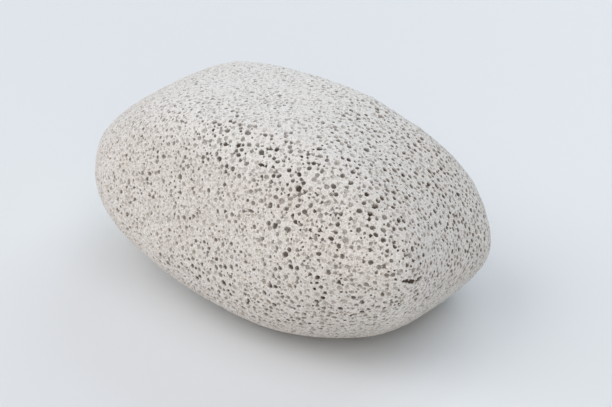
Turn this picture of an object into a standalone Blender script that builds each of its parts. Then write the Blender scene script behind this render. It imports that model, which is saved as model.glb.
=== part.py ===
"""Pumice stone: one rounded, worn block with a flat face that it rests on.

The stone is a rounded block that weathering has rubbed down into broad, soft
planes. Each plane is given by the way it faces and by its distance from the
middle of the block. Metres, +Z up, +X along the stone towards its nose, and
the rest face lies on Z = 0.
"""

import bpy
import bmesh
from math import cos, radians, sin
from mathutils import Vector

# Half length, half width and half height of the block before it is rubbed down.
HALF_SIZE = Vector((0.0590, 0.0295, 0.0220))

# How square the block's own edges are: 2 is an ellipsoid, more is boxier.
BLOCK_SQUARENESS = 3.2

# How sharply the worn planes meet: a higher value gives tighter shoulders.
SHOULDER_SHARPNESS = 16

# Height of the block's middle above the rest face.
REST_HEIGHT = 0.0210

# Fineness of the ball that the stone is shaped from.
BALL_SUBDIVISIONS = 5

# Worn planes: heading from +X towards +Y, tilt up from level (both in degrees),
# and distance from the middle of the block.
WORN_PLANES = {
    "front": (-95, 20, 0.0260),
    "front_high": (-70, 45, 0.0280),
    "front_low": (-115, -50, 0.0300),
    "tail": (180, 0, 0.0535),
    "tail_high": (-175, 55, 0.0315),
    "tail_low": (180, -40, 0.0435),
    "tail_front": (-135, 10, 0.0425),
    "tail_front_high": (-135, 50, 0.0305),
    "tail_front_low": (-140, -35, 0.0395),
    "tail_back": (130, 0, 0.0425),
    "tail_back_high": (135, 35, 0.0370),
    "nose": (5, -15, 0.0435),
    "nose_high": (20, 65, 0.0250),
    "nose_low": (0, -40, 0.0385),
    "nose_front": (-65, 0, 0.0365),
    "nose_front_low": (-50, -40, 0.0345),
    "nose_back": (50, -10, 0.0450),
    "nose_back_high": (20, 35, 0.0340),
    "back": (80, -5, 0.0290),
    "back_high": (90, 30, 0.0235),
    "back_low": (110, -40, 0.0270),
    "top": (160, 80, 0.0230),
}

STONE_COLOUR = (0.60, 0.56, 0.52, 1.0)
STONE_ROUGHNESS = 0.95


def clear_scene():
    for item in list(bpy.data.objects):
        bpy.data.objects.remove(item, do_unlink=True)


def facing(heading, tilt):
    """Unit vector of a plane's outward side."""
    level = cos(radians(tilt))
    return Vector((
        level * cos(radians(heading)),
        level * sin(radians(heading)),
        sin(radians(tilt)),
    ))


def block_reach(direction):
    """1 / distance to the rounded block's own surface along a unit vector."""
    power = BLOCK_SQUARENESS
    total = sum(abs(direction[axis] / HALF_SIZE[axis]) ** power for axis in range(3))
    return total ** (1 / power)


def stone_radius(direction, planes):
    """Distance from the middle to the stone's surface along a unit vector."""
    total = block_reach(direction) ** SHOULDER_SHARPNESS
    for normal, distance in planes:
        reach = max(direction.dot(normal) / distance, 0)
        total += reach ** SHOULDER_SHARPNESS
    return total ** (-1 / SHOULDER_SHARPNESS)


def shape_ball(stone):
    """Turn a fine ball into the worn block, around the block's middle."""
    bmesh.ops.create_icosphere(stone, subdivisions=BALL_SUBDIVISIONS, radius=1)
    planes = []
    for heading, tilt, distance in WORN_PLANES.values():
        planes.append((facing(heading, tilt), distance))
    for vert in stone.verts:
        direction = vert.co.normalized()
        vert.co = direction * stone_radius(direction, planes)


def grind_rest_face(stone):
    """Grind the underside level, at the rest face's height."""
    for vert in stone.verts:
        vert.co.z = max(vert.co.z, -REST_HEIGHT)


def centre_on_floor(stone):
    """Put the middle of the stone's length and width at X = Y = 0, rest face on Z = 0."""
    xs = [vert.co.x for vert in stone.verts]
    ys = [vert.co.y for vert in stone.verts]
    middle = Vector(((min(xs) + max(xs)) / 2, (min(ys) + max(ys)) / 2, -REST_HEIGHT))
    bmesh.ops.translate(stone, vec=-middle, verts=stone.verts[:])


def stone_material():
    material = bpy.data.materials.new("pumice")
    material.use_nodes = True
    shader = material.node_tree.nodes["Principled BSDF"]
    shader.inputs["Base Color"].default_value = STONE_COLOUR
    shader.inputs["Roughness"].default_value = STONE_ROUGHNESS
    shader.inputs["Metallic"].default_value = 0
    return material


def build_pumice_stone():
    stone = bmesh.new()
    shape_ball(stone)
    grind_rest_face(stone)
    centre_on_floor(stone)
    mesh = bpy.data.meshes.new("pumice_stone")
    stone.to_mesh(mesh)
    stone.free()
    mesh.shade_smooth()
    mesh.materials.append(stone_material())
    body = bpy.data.objects.new("pumice_stone", mesh)
    bpy.context.scene.collection.objects.link(body)


clear_scene()
build_pumice_stone()
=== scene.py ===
from math import cos, pi, radians, sin, sqrt

import bmesh
import bpy
import numpy as np
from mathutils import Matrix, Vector, noise
from mathutils.bvhtree import BVHTree
from mathutils.geometry import delaunay_2d_cdt
from mathutils.kdtree import KDTree


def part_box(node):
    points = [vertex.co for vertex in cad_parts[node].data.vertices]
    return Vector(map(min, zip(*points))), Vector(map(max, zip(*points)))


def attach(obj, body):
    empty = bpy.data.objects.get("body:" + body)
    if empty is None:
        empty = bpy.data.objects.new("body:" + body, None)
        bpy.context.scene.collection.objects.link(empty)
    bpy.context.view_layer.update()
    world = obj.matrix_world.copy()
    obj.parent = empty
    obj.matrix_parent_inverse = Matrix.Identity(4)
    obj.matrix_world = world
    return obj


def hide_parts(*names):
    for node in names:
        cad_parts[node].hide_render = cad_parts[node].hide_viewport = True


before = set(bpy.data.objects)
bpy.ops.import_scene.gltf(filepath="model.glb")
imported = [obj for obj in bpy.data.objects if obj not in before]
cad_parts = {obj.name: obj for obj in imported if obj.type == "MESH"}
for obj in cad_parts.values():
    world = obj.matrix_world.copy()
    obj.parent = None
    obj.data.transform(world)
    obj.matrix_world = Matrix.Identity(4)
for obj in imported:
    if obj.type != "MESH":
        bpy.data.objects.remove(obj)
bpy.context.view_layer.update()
stoneNode = "pumice_stone"
mm = 0.001


# Shader maths as expressions: a wrapped socket, and one method for every other node

class Wire:
    def __init__(self, tree, socket):
        self.tree = tree
        self.socket = socket

    def maths(self, operation, first, second):
        return addNode(self.tree, "ShaderNodeMath", {"operation": operation}, {0: first, 1: second})

    def __sub__(self, other):
        return self.maths("SUBTRACT", self, other)

    def __rsub__(self, other):
        return self.maths("SUBTRACT", other, self)

    def __mul__(self, other):
        return self.maths("MULTIPLY", self, other)

    __rmul__ = __mul__


def addNode(tree, kind, settings=None, inputs=None, output=0):
    node = tree.nodes.new(kind)
    for name, value in (settings or {}).items():
        setattr(node, name, value)
    for name, value in (inputs or {}).items():
        if isinstance(value, Wire):
            tree.links.new(value.socket, node.inputs[name])
        else:
            node.inputs[name].default_value = value
    return Wire(tree, node.outputs[output])


def ramp(value, start, end):  # 0 at start, 1 at end, smooth between them
    settings = {"interpolation_type": "SMOOTHSTEP", "clamp": True}
    inputs = {"Value": value, "From Min": start, "From Max": end}
    return addNode(value.tree, "ShaderNodeMapRange", settings, inputs)


def mixColour(factor, first, second, blend="MIX"):
    # sockets 6 and 7 of a Mix node take its two colours, and output 2 gives the result
    settings = {"data_type": "RGBA", "blend_type": blend, "clamp_factor": True}
    return addNode(factor.tree, "ShaderNodeMix", settings, {0: factor, 6: first, 7: second}, 2)


def noiseNode(where, noiseSettings):
    size, detail, roughness = noiseSettings
    inputs = {"Vector": where, "Scale": 1 / size, "Detail": detail, "Roughness": roughness}
    return addNode(where.tree, "ShaderNodeTexNoise", None, inputs)


def attributeNode(tree, name):
    return addNode(tree, "ShaderNodeAttribute", {"attribute_name": name}, output="Fac")


# The stone's surface: the solid's own shape, smoothed, with gentle dips

stoneShape = {
    "smoothing": 2,             # subdivision levels over the solid
    "dip": 0.45 * mm,           # how far the surface sinks between its gentle rises
    "dipSize": 8 * mm,
    "lump": 0.25 * mm,          # and between its small lumps
    "lumpSize": 1.9 * mm,
    "chip": 0.08 * mm,          # unevenness of the rims and of the plain stone
    "full": 0.22 * mm,          # how far the whole surface is let out again, to keep the solid's size
    "sharpAngle": 30,           # degrees between two faces from which the edge stays crisp
    "mergeWithin": 0.01 * mm,   # corners of the solid's loose triangles that are this close are one
}


def smoothedSolid():
    base = bmesh.new()
    base.from_mesh(bpy.data.objects[stoneNode].data)
    bmesh.ops.remove_doubles(base, verts=base.verts[:], dist=stoneShape["mergeWithin"])
    mesh = bpy.data.meshes.new("smoothedSolid")
    base.to_mesh(mesh)
    base.free()
    solid = bpy.data.objects.new("smoothedSolid", mesh)
    bpy.context.scene.collection.objects.link(solid)
    smoother = solid.modifiers.new("smooth", "SUBSURF")
    smoother.levels = smoother.render_levels = stoneShape["smoothing"]
    finished = solid.evaluated_get(bpy.context.evaluated_depsgraph_get()).to_mesh()
    shape = bmesh.new()
    shape.from_mesh(finished)
    bpy.data.objects.remove(solid, do_unlink=True)
    bmesh.ops.triangulate(shape, faces=shape.faces[:])
    return shape


# Pores

pores = {
    "seed": 4,
    "kinds": {
        # radius from, radius to, how many, points on the rim, points on the ring inside
        "open": (0.50 * mm, 0.66 * mm, 380, 9, 5),
        "common": (0.35 * mm, 0.52 * mm, 5000, 7, 3),
        "fine": (0.21 * mm, 0.34 * mm, 5200, 5, 0),
    },
    "fineness": 1.2,            # higher gives more of the finer pores in each kind
    "wall": (0.92, 1.15),       # least spacing, in the sum of two radii; under 1 lets some pores join
    "innerRing": 0.76,          # radius of the inner ring, in pore radii
    "squash": (0.70, 1.0),      # width to length of a pore
    "wobble": 0.11,             # unevenness of a rim
    "depth": (0.5, 1.45),       # in radii, from a worn pore to an open one
    "hollow": (3, 0.6),         # a higher first number gives a flatter floor, a lower second a steeper wall
    "tone": (0.16, 0.66),       # painted shade inside, from a worn pore to an open one
    "darker": 0.55,             # how much darker the painted shade in the pores is where they stay open
    "swell": 0.14,              # how much wider the pores are where they stay open
    "worn": 2.1,                # higher gives more worn pores and fewer open ones
    "tries": 9,                 # places tried for each pore that is wanted
    "filler": 0.60 * mm,        # spacing of the points on plain stone
    "fillerTries": 60000,       # places tried for those points
}

# pores in known places: heading, height, radius, width to length, openness (0 to 1)
# heading and height are the angles of the line to it from the stone's middle, in degrees
knownPores = [
    (-83.5, 49.0, 0.62 * mm, 0.90, 0.75), (-68.0, 50.0, 0.70 * mm, 0.90, 0.60),
    (-93.0, 50.5, 0.50 * mm, 1.00, 0.85), (-81.0, 35.5, 0.64 * mm, 0.90, 0.95),
    (-69.5, 39.0, 0.55 * mm, 0.70, 0.85), (-55.5, 35.5, 0.52 * mm, 0.45, 1.00),
    (-52.0, 42.5, 0.55 * mm, 0.40, 0.90), (-55.5, 49.5, 0.52 * mm, 0.70, 0.90),
    (-27.0, 40.0, 0.62 * mm, 0.80, 0.85), (-32.0, 34.5, 0.52 * mm, 0.90, 0.85),
    (-42.5, 33.0, 0.52 * mm, 0.90, 0.85), (-37.5, 28.0, 0.50 * mm, 0.90, 0.80),
    (-30.0, 26.0, 0.60 * mm, 0.90, 0.35), (-19.0, 29.0, 0.55 * mm, 0.90, 0.90),
    (-22.0, 26.0, 0.55 * mm, 0.90, 0.90), (-28.0, 23.5, 0.50 * mm, 0.90, 0.85),
    (-18.5, 19.0, 0.72 * mm, 0.80, 0.85), (-21.0, 17.5, 0.60 * mm, 0.90, 1.00),
    (-23.5, 18.5, 0.60 * mm, 0.80, 0.75), (-30.0, 15.5, 0.52 * mm, 1.00, 0.90),
    (-32.5, 12.0, 0.55 * mm, 0.70, 0.90), (-25.0, 7.0, 0.55 * mm, 0.90, 0.85),
    (-44.5, 13.5, 0.70 * mm, 0.70, 0.60), (-53.0, 9.0, 0.48 * mm, 0.80, 0.90),
    (-58.5, 17.5, 0.55 * mm, 0.40, 0.85), (-66.0, 3.0, 0.50 * mm, 0.90, 0.80),
]

# an open crack across the shoulder by the nose: where its row of joined pores runs
crack = {
    "start": (-18.5, 2.0),      # heading and height, as above
    "end": (-13.5, 1.0),
    "pores": 8,
    "radius": (0.34 * mm, 0.55 * mm),
    "stray": 0.25 * mm,         # how far a pore may lie off the row
}

# how open the pores are: 1 is usual, less is worn shut
openness = {
    "nose": 0.44,               # how much more at the nose than in the middle, and less at the tail
    "shoulders": 0.52,          # how much more where the sides turn over into the top
    "shoulderTilt": (0.74, 0.30),   # the upward part of the surface's direction there, and its spread
    "top": -0.24,               # how much more on the rubbed top
    "topTilt": (0.965, 0.995),  # the upward part of the direction where the top begins and is whole
    "drift": 0.38,              # change from place to place
    "driftSize": 7 * mm,
    "least": 0.15,
    "most": 2,                  # past this a pore gets no wider and no darker
}

# places that differ: heading, height, radius, how much more
patches = {
    "wornRidge": (-32.0, 45.5, 3.4 * mm, -1.2),
    "wornTopEdge": (-54.5, 53.0, 2.2 * mm, -0.7),
    "wornNoseTop": (-10.0, 28.0, 3.5 * mm, -0.6),
    "wornTopTail": (-173.0, 59.0, 5.0 * mm, -0.4),
    "wornTopMiddle": (-31.0, 67.5, 4.0 * mm, -0.3),
    "rubbedUnderNose": (9.0, -17.0, 6.0 * mm, -1.3),
    "openLowFront": (-34.0, -16.0, 18.0 * mm, 1.0),
    "openLowSide": (-75.0, -26.0, 18.0 * mm, 0.8),
    "openShoulder": (-36.0, 45.0, 12.0 * mm, 0.5),
    "openNose": (2.0, 6.0, 20.0 * mm, 1.5),
    "openNoseTop": (-8.0, 40.0, 9.0 * mm, 0.35),
    "openFront": (-81.0, 44.0, 9.0 * mm, 0.6),
    "openTailSide": (-115.0, 20.0, 14.0 * mm, 0.18),
}


class SurfaceSampler:
    def __init__(self, shape):
        noArea = 1e-18  # keeps a face without any area from dividing by nothing
        shape.faces.ensure_lookup_table()
        self.corners = np.array([[vert.co[:] for vert in face.verts] for face in shape.faces])
        first, second, third = self.corners.transpose(1, 0, 2)
        across = np.cross(second - first, third - first)
        size = np.linalg.norm(across, axis=1)
        self.normals = across / np.maximum(size, noArea)[:, None]
        self.share = np.cumsum(size)

    def pick(self, count, rng):  # points spread evenly over the surface, with their normals
        face = np.searchsorted(self.share, rng.random(count) * self.share[-1])
        a, b = rng.random(count), rng.random(count)
        flip = a + b > 1
        a[flip], b[flip] = 1 - a[flip], 1 - b[flip]
        first, second, third = self.corners[face].transpose(1, 0, 2)
        return first + a[:, None] * (second - first) + b[:, None] * (third - first), self.normals[face]


def direction(heading, height):
    level = cos(radians(height))
    return Vector((cos(radians(heading)) * level, sin(radians(heading)) * level, sin(radians(height))))


class Surface:
    def __init__(self, shape):
        low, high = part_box(stoneNode)
        self.middle = (Vector(low) + Vector(high)) / 2
        self.half = (Vector(high) - Vector(low)) / 2
        self.tree = BVHTree.FromBMesh(shape)
        self.spots = {name: self.meet(direction(*patch[:2]))[0] for name, patch in patches.items()}

    def meet(self, ray):  # where the ray from the stone's middle leaves it, and the normal there
        spot, up, _, _ = self.tree.ray_cast(self.middle, Vector(ray))
        return np.array(spot), np.array(up)

    def gainAt(self, spot, up):  # how open the pores are at a spot
        gain = 1 + openness["nose"] * (spot[0] - self.middle.x) / self.half.x
        tilt, spread = openness["shoulderTilt"]
        gain += openness["shoulders"] * max(0, 1 - ((up[2] - tilt) / spread) ** 2)
        low, high = openness["topTilt"]
        gain += openness["top"] * min(1, max(0, (up[2] - low) / (high - low)))
        gain += openness["drift"] * noise.noise(Vector(spot) / openness["driftSize"])
        for name, (_, _, radius, amount) in patches.items():
            gap = np.linalg.norm(spot - self.spots[name]) / radius
            gain += amount * max(0, 1 - gap * gap)
        return max(openness["least"], gain)


def gainBeyondUsual(gain):
    return min(gain, openness["most"]) - 1


class Pore:
    # without a given squash it is drawn, and the pore lies any way round; with one it lies level
    def __init__(self, centre, normal, radius, rng, squash, openShare, gain):
        self.centre = centre
        self.radius = radius
        side = np.cross(normal, rng.normal(size=3)) if squash is None else np.cross(normal, (0, 0, 1))
        self.long = side / np.linalg.norm(side)
        self.across = np.cross(normal, self.long)
        squash = squash or rng.uniform(*pores["squash"])
        self.lengthRadius = radius / sqrt(squash)
        self.widthRadius = radius * sqrt(squash)
        self.waves = []
        for waves in (2, 3, 4):  # waves round the rim: how many, where they start, how high
            start = rng.uniform(0, 2 * pi)
            self.waves.append((waves, start, pores["wobble"] * rng.random() / sqrt(waves)))
        shallow, deep = pores["depth"]
        pale, dark = pores["tone"]
        self.depth = radius * (shallow + (deep - shallow) * openShare)
        # the painted shade inside the pore, darker where the pores stay open
        self.tone = (pale + (dark - pale) * openShare) * (1 + pores["darker"] * gainBeyondUsual(gain))

    def rimFactor(self, angle):
        return 1 + sum(size * np.cos(waves * angle + start) for waves, start, size in self.waves)

    def ring(self, count, share, turn):
        angle = turn + np.arange(count) * 2 * pi / count
        factor = self.rimFactor(angle) * share
        along = (self.lengthRadius * np.cos(angle) * factor)[:, None] * self.long
        across = (self.widthRadius * np.sin(angle) * factor)[:, None] * self.across
        return self.centre + along + across

    def points(self, rim, inner, rng):
        turn = rng.uniform(0, 2 * pi)
        rings = [self.ring(rim, 1, turn), self.centre[None, :]]
        if inner:
            rings.append(self.ring(inner, pores["innerRing"], turn + pi / rim))
        return np.vstack(rings)

    def reach(self, points):  # 0 at the middle of the pore, 1 on its rim
        offset = points - self.centre
        x = offset @ self.long / self.lengthRadius
        y = offset @ self.across / self.widthRadius
        return np.hypot(x, y) / self.rimFactor(np.arctan2(y, x))


def poreFloor(reach):  # share of the full depth across a pore
    flatness, steepness = pores["hollow"]
    return np.clip(1 - np.clip(reach, 0, 1) ** flatness, 0, 1) ** steepness


def pointCounts(radius):  # a pore with a given radius gets the points of the kind that it would be
    for low, _, _, rim, inner in pores["kinds"].values():
        if radius >= low:
            break
    return rim, inner


def placePores(surface, sampler, rng):
    placed, points = [], []
    most = sum(kind[2] for kind in pores["kinds"].values()) + len(knownPores) + crack["pores"]
    spots, radii = np.zeros((most, 3)), np.zeros(most)

    def add(pore):
        spots[len(placed)] = pore.centre
        radii[len(placed)] = pore.radius
        placed.append(pore)
        points.append(pore.points(*pointCounts(pore.radius), rng))

    for heading, height, radius, squash, openShare in knownPores:
        spot, up = surface.meet(direction(heading, height))
        add(Pore(spot, up, radius, rng, squash, openShare, surface.gainAt(spot, up)))
    for i in range(crack["pores"]):
        way = i / (crack["pores"] - 1)
        heading, height = (a + (b - a) * way for a, b in zip(crack["start"], crack["end"]))
        spot, up = surface.meet(direction(heading, height))
        spot = spot + rng.uniform(-1, 1, 3) * crack["stray"]
        add(Pore(spot, up, rng.uniform(*crack["radius"]), rng, None, 1.0, openness["most"]))

    for kind, (low, high, wanted, _, _) in pores["kinds"].items():
        candidates, ups = sampler.pick(wanted * pores["tries"], rng)
        sizes = low + (high - low) * rng.random(len(candidates)) ** pores["fineness"]
        walls = rng.uniform(*pores["wall"], len(candidates))
        chance = rng.random(len(candidates))
        kept = 0
        for spot, up, size, wall, luck in zip(candidates, ups, sizes, walls, chance):
            gain = surface.gainAt(spot, up)
            if luck > gain:
                continue
            size = size * (1 + pores["swell"] * gainBeyondUsual(gain))
            count = len(placed)
            gap = np.linalg.norm(spots[:count] - spot, axis=1)
            if np.any(gap < (radii[:count] + size) * wall):
                continue
            openShare = min(1, rng.random() ** (pores["worn"] / gain))
            add(Pore(spot, up, size, rng, None, openShare, gain))
            kept += 1
            if kept == wanted:
                break
        print(kind, "pores:", kept)
    return placed, np.vstack(points)


def finderOf(points):  # finds the points nearest to a spot
    finder = KDTree(len(points))
    for i, point in enumerate(points):
        finder.insert(point, i)
    finder.balance()
    return finder


def fillPlainStone(points, sampler, rng):
    candidates, _ = sampler.pick(pores["fillerTries"], rng)
    finder = finderOf(points)
    bare = [spot for spot in candidates if finder.find(spot)[2] > pores["filler"]]
    finder = finderOf(bare)
    filler, dropped = [], set()
    for i, spot in enumerate(bare):
        if i not in dropped:
            filler.append(spot)
            dropped.update(j for _, j, _ in finder.find_range(spot, pores["filler"]))
    print("points on pores and between them:", len(points), len(filler))
    return np.vstack([points] + filler) if filler else points


def sinkPores(placed, skin):
    # each point takes the deepest of the pores that cover it
    widest = 1.3        # how far out a rim can wobble, in length radii
    onRim = 1.001       # the points on the rim itself belong to the pore
    depth, share, tone = (np.zeros(len(skin)) for _ in range(3))
    finder = finderOf(skin)
    for pore in placed:
        found = finder.find_range(pore.centre, pore.lengthRadius * widest)
        near = np.array([i for _, i, _ in found], dtype=int)
        reach = pore.reach(skin[near])
        sink = pore.depth * poreFloor(reach)
        deeper = (reach < onRim) & (sink >= depth[near])
        near = near[deeper]
        depth[near] = sink[deeper]
        share[near] = 1 - np.clip(reach[deeper], 0, 1)
        # each point keeps the painted shade of the pore that covers it
        tone[near] = pore.tone
    return depth, share, tone


def dip(spot, up, rng):  # how far the surface sinks at a spot, and nothing on the face that it rests on
    sizes = (stoneShape["dipSize"], stoneShape["lumpSize"])
    rise, lump = (0.5 + 0.5 * noise.noise(Vector(spot) / size) for size in sizes)
    sink = stoneShape["dip"] * rise + stoneShape["lump"] * lump + stoneShape["chip"] * rng.random()
    downward = max(0, -up[2])
    return sink * (1 - downward ** 4) - stoneShape["full"] * (1 - downward) ** 2


def joinNeighbours(rays):
    # triangles between neighbouring points: the points are laid flat as seen from a pole under the stone
    # the pole is the last point, and closes the hole that is left round it
    sameSpot = 1e-9  # flat points closer than this are one
    flat = rays[:-1, :2] / (1 + rays[:-1, 2:3])
    laid = delaunay_2d_cdt([Vector(point) for point in flat], [], [], 0, sameSpot)
    origin = [group[0] for group in laid[3]]
    faces = [tuple(origin[k] for k in face) for face in laid[2]]
    edges = {edge for face in faces for edge in zip(face, face[1:] + face[:1])}
    pole = len(rays) - 1
    faces += [(b, a, pole) for a, b in edges if (b, a) not in edges]
    return faces


def bakeMap(shape, rayLayer, half):
    # two ovals, one over the other: the stone's upper half and its lower half, each laid flat
    ovalWide, ovalHigh = 0.47, 0.225  # half sizes
    layer = shape.loops.layers.uv.new("OFBake")
    for face in shape.faces:
        upper = sum(vert[rayLayer].z for vert in face.verts) > 0
        middleHigh = 0.75 if upper else 0.25
        for loop in face.loops:
            ray = loop.vert[rayLayer]
            onBall = Vector((ray.x / half.x, ray.y / half.y, ray.z / half.z)).normalized()
            out = sqrt(max(0, 1 - (onBall.z if upper else -onBall.z)))
            onBall.z = 0
            across, along, _ = onBall.normalized() * out
            loop[layer].uv = (0.5 + ovalWide * across, middleHigh + ovalHigh * along)


def buildStone():
    rng = np.random.default_rng(pores["seed"])
    shape = smoothedSolid()
    surface = Surface(shape)
    sampler = SurfaceSampler(shape)
    placed, points = placePores(surface, sampler, rng)
    points = fillPlainStone(points, sampler, rng)

    pole = (0, 0, -1)
    justOffPole = -0.99999
    rays = points - np.array(surface.middle)
    rays /= np.linalg.norm(rays, axis=1)[:, None]
    rays = np.vstack([rays[rays[:, 2] > justOffPole], [pole]])
    met = [surface.meet(ray) for ray in rays]
    skin = np.array([spot for spot, _ in met])
    ups = np.array([up for _, up in met])
    depth, share, tone = sinkPores(placed, skin)
    depth += [dip(spot, up, rng) for spot, up in zip(skin, ups)]
    low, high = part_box(stoneNode)
    place = np.clip(skin - ups * depth[:, None], low, high)

    mesh = bpy.data.meshes.new("pumiceStone")
    mesh.from_pydata(place.tolist(), [], joinNeighbours(rays))
    # how far the surface faces sideways, where the finish paints shade on the sides
    start, whole = pumice["flankTilt"]
    flankShade = np.clip((np.abs(ups[:, 1]) - start) / (whole - start), 0, 1)
    for name, values in (("poreShare", share), ("poreShade", tone), ("flankShade", flankShade)):
        mesh.attributes.new(name, "FLOAT", "POINT").data.foreach_set("value", values.astype(np.float32))
    ray = mesh.attributes.new("ray", "FLOAT_VECTOR", "POINT")
    ray.data.foreach_set("vector", rays.astype(np.float32).ravel())
    clean = bmesh.new()
    clean.from_mesh(mesh)
    bmesh.ops.delete(clean, geom=[vert for vert in clean.verts if not vert.link_faces], context="VERTS")
    bmesh.ops.recalc_face_normals(clean, faces=clean.faces[:])
    vectors = clean.verts.layers.float_vector
    bakeMap(clean, vectors["ray"], surface.half)
    vectors.remove(vectors["ray"])
    openEdges = sum(not edge.is_manifold for edge in clean.edges)
    print("triangles:", len(clean.faces), "open edges:", openEdges)
    clean.to_mesh(mesh)
    clean.free()
    shape.free()
    mesh.set_sharp_from_angle(angle=radians(stoneShape["sharpAngle"]))
    stone = bpy.data.objects.new("pumiceStone", mesh)
    bpy.context.scene.collection.objects.link(stone)
    return stone


# Pumice finish

pumice = {
    "roughness": 0.95,
    "specular": 0.2,
    "pale": (0.745, 0.710, 0.665, 1),
    "warm": (0.675, 0.632, 0.580, 1),
    "mottle": (4 * mm, 5, 0.65),        # patches of those two colours: size, detail, roughness
    "mottleEdge": (0.35, 0.7),
    "flankShade": (0.965, 0.935, 0.915, 1),  # painted shade on the sides: darker and warmer than on the top and the nose
    "flankTilt": (0.35, 0.75),  # sideways part of the surface's direction where that painted shade begins and is whole
    # painted light on the top: a paler, cooler colour up there
    "top": (0.775, 0.752, 0.715, 1),
    "topLightHeight": (33 * mm, 41 * mm),    # where the painted light on the top, paler and cooler, begins and where it is whole
    # pale specks of the grain, and the painted highlight on the rims of the fine pits
    "speckAndRimHighlight": (0.90, 0.88, 0.86, 1),
    # the dark colour of painted shade, in the pores, in the fine pits and in the grain's dark specks
    "poreShadeColour": (0.13, 0.10, 0.082, 1),
    "poreEdge": 0.18,           # how far in from the rim, in radii, the painted shade on the wall reaches its full darkness
    "grain": (0.32 * mm, 3, 0.6),       # size, detail, roughness
    "paleGrain": (0.52, 0.62, 0.65),    # where in the grain the pale specks begin and are whole, how strong
    "darkGrain": (0.38, 0.48, 0.20),    # where the dark specks are whole and where they end, how strong
    # spacing, radius in spacings, darkness of their painted shade, strength of the painted highlight on the
    # rim of the fine pits between the pores
    "pits": ((0.90 * mm, 0.34, 0.27, 0.30), (0.42 * mm, 0.32, 0.30, 0.25)),
    "pitWall": (0.5, 1.0),      # in pit radii: where the wall rises from the floor, and where it ends
    "pitRimHighlight": (0.9, 1.2, 1.3, 1.8),     # where the painted highlight on the rim begins, is whole, starts to fade, and ends
    "pitDepth": 0.62 * mm,      # pits with this spacing are as deep as the whole bump
    "grainDepth": 0.5,          # of the whole bump
    "bump": (0.5, 0.12 * mm),   # strength, height
}


def pumiceFinish():
    material = bpy.data.materials.new("pumiceFinish")
    material.use_nodes = True
    tree = material.node_tree
    shader = tree.nodes["Principled BSDF"]
    shader.inputs["Roughness"].default_value = pumice["roughness"]
    shader.inputs["Specular IOR Level"].default_value = pumice["specular"]
    where = addNode(tree, "ShaderNodeTexCoord", output="Object")

    mottle = noiseNode(where, pumice["mottle"])
    colour = mixColour(ramp(mottle, *pumice["mottleEdge"]), pumice["pale"], pumice["warm"])
    # painted shade on the sides, warmer and darker than on the top and the nose
    colour = mixColour(attributeNode(tree, "flankShade"), colour, pumice["flankShade"], "MULTIPLY")
    # painted light on the top: paler and cooler above a height
    rise = addNode(tree, "ShaderNodeSeparateXYZ", None, {"Vector": where}, "Z")
    colour = mixColour(ramp(rise, *pumice["topLightHeight"]), colour, pumice["top"])

    grain = noiseNode(where, pumice["grain"])
    start, whole, strength = pumice["paleGrain"]
    colour = mixColour(ramp(grain, start, whole) * strength, colour, pumice["speckAndRimHighlight"])
    whole, end, strength = pumice["darkGrain"]
    colour = mixColour((1 - ramp(grain, whole, end)) * strength, colour, pumice["poreShadeColour"])
    height = grain * pumice["grainDepth"]

    for spacing, radius, darkness, rimHighlight in pumice["pits"]:
        inputs = {"Vector": where, "Scale": 1 / spacing, "Randomness": 1}
        gap = addNode(tree, "ShaderNodeTexVoronoi", None, inputs, "Distance")
        floorEdge, wallEnd = (radius * reach for reach in pumice["pitWall"])
        pit = 1 - ramp(gap, floorEdge, wallEnd)
        # painted shade in the fine pits
        colour = mixColour(pit * darkness, colour, pumice["poreShadeColour"])
        # painted highlight round the rims of the fine pits
        start, whole, fading, end = (radius * reach for reach in pumice["pitRimHighlight"])
        rim = (1 - ramp(gap, fading, end)) * ramp(gap, start, whole)
        colour = mixColour(rim * rimHighlight, colour, pumice["speckAndRimHighlight"])
        height = height - pit * (spacing / pumice["pitDepth"])

    # painted shade inside the pores, full from a little inside the rim
    poreInside = ramp(attributeNode(tree, "poreShare"), 0, pumice["poreEdge"])
    colour = mixColour(poreInside * attributeNode(tree, "poreShade"), colour, pumice["poreShadeColour"])
    tree.links.new(colour.socket, shader.inputs["Base Color"])
    strength, distance = pumice["bump"]
    inputs = {"Height": height, "Strength": strength, "Distance": distance}
    bump = addNode(tree, "ShaderNodeBump", None, inputs)
    tree.links.new(bump.socket, shader.inputs["Normal"])
    return material


stone = buildStone()
stone.data.materials.append(pumiceFinish())
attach(stone, "root")
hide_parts(stoneNode)
print("stone done")


# Floor, lights and camera

studio = {
    "floorColour": (0.795, 0.813, 0.826, 1),
    "floorRoughness": 0.6,
    "floorSize": 6.0,
    "sky": (0.882, 0.922, 1.0, 1),
    "skyStrength": 0.41,
    # heading and height of each light in degrees, distance, size, power, colour
    "softboxes": {
        "leftSoftbox": (-125, 50, 2.2, 1.7, 18.3, (1.0, 0.970, 0.930)),
        "tailSoftbox": (-165, 15, 2.2, 1.7, 9.0, (0.846, 0.886, 1.0)),
        "frontSoftbox": (-47, 15, 2.2, 1.7, 12.3, (1.0, 0.915, 0.780)),
        "backSoftbox": (100, 30, 2.2, 1.7, 15.2, (0.770, 0.925, 1.0)),
        "topSoftbox": (0, 75, 2.2, 1.7, 9.4, (0.949, 0.947, 1.0)),
    },
}

view = {
    "stoneMiddle": (0.00303, 0.00056, 0.021),   # metres, as all that follows but the angles and the lens
    "heading": 42.5,            # degrees round from the stone's front towards its nose
    "height": 28.0,
    "distance": 0.378,
    "aside": (0.00311, 0.00294),  # how far the view's middle lies right of and below the stone's middle
    "lens": 106.6,              # millimetres, as the sensor's width
    "sensor": 36,
    "clipStart": 0.01,
}


def pointAround(heading, height, distance):
    return Vector(view["stoneMiddle"]) + direction(heading, height) * distance


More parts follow.
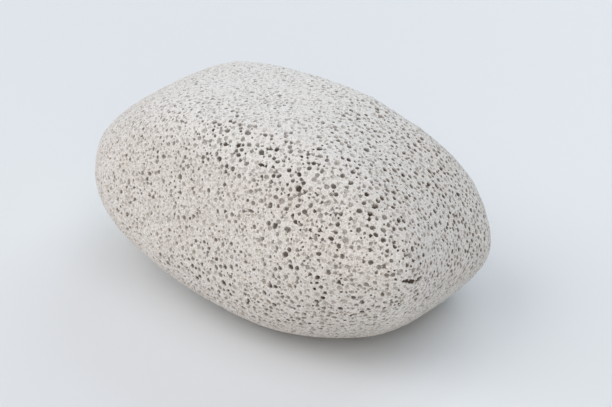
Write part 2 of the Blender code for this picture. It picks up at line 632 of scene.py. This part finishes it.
def aimAt(thing, target):
    thing.rotation_euler = (Vector(target) - thing.location).to_track_quat("-Z", "Y").to_euler()


def addFloor():
    floorMesh = bmesh.new()
    bmesh.ops.create_grid(floorMesh, x_segments=1, y_segments=1, size=studio["floorSize"] / 2)
    mesh = bpy.data.meshes.new("floor")
    floorMesh.to_mesh(mesh)
    floorMesh.free()
    floor = bpy.data.objects.new("floor", mesh)
    bpy.context.scene.collection.objects.link(floor)
    material = bpy.data.materials.new("floorFinish")
    material.use_nodes = True
    shader = material.node_tree.nodes["Principled BSDF"]
    shader.inputs["Base Color"].default_value = studio["floorColour"]
    shader.inputs["Roughness"].default_value = studio["floorRoughness"]
    mesh.materials.append(material)


def addSoftbox(name):
    heading, height, distance, size, power, colour = studio["softboxes"][name]
    light = bpy.data.lights.new(name, "AREA")
    light.shape = "SQUARE"
    light.size = size
    light.energy = power
    light.color = colour
    lamp = bpy.data.objects.new(name, light)
    bpy.context.scene.collection.objects.link(lamp)
    lamp.location = pointAround(heading, height, distance)
    aimAt(lamp, view["stoneMiddle"])


def addSky():
    world = bpy.data.worlds.new("sky")
    world.use_nodes = True
    background = world.node_tree.nodes["Background"]
    background.inputs["Color"].default_value = studio["sky"]
    background.inputs["Strength"].default_value = studio["skyStrength"]
    bpy.context.scene.world = world


def addCamera():
    data = bpy.data.cameras.new("camera")
    data.lens = view["lens"]
    data.sensor_width = view["sensor"]
    data.clip_start = view["clipStart"]
    camera = bpy.data.objects.new("camera", data)
    bpy.context.scene.collection.objects.link(camera)
    quarterTurn = 90
    towardsCamera = (view["heading"] - quarterTurn, view["height"])
    camera.location = pointAround(*towardsCamera, view["distance"])
    right = direction(view["heading"], 0)
    up = direction(*towardsCamera).cross(right)
    across, down = view["aside"]
    aimAt(camera, Vector(view["stoneMiddle"]) + right * across - up * down)
    bpy.context.scene.camera = camera


addFloor()
addSky()
for softbox in studio["softboxes"]:
    addSoftbox(softbox)
addCamera()
bpy.context.scene.view_settings.view_transform = "Standard"
print("floor, lights and camera done")
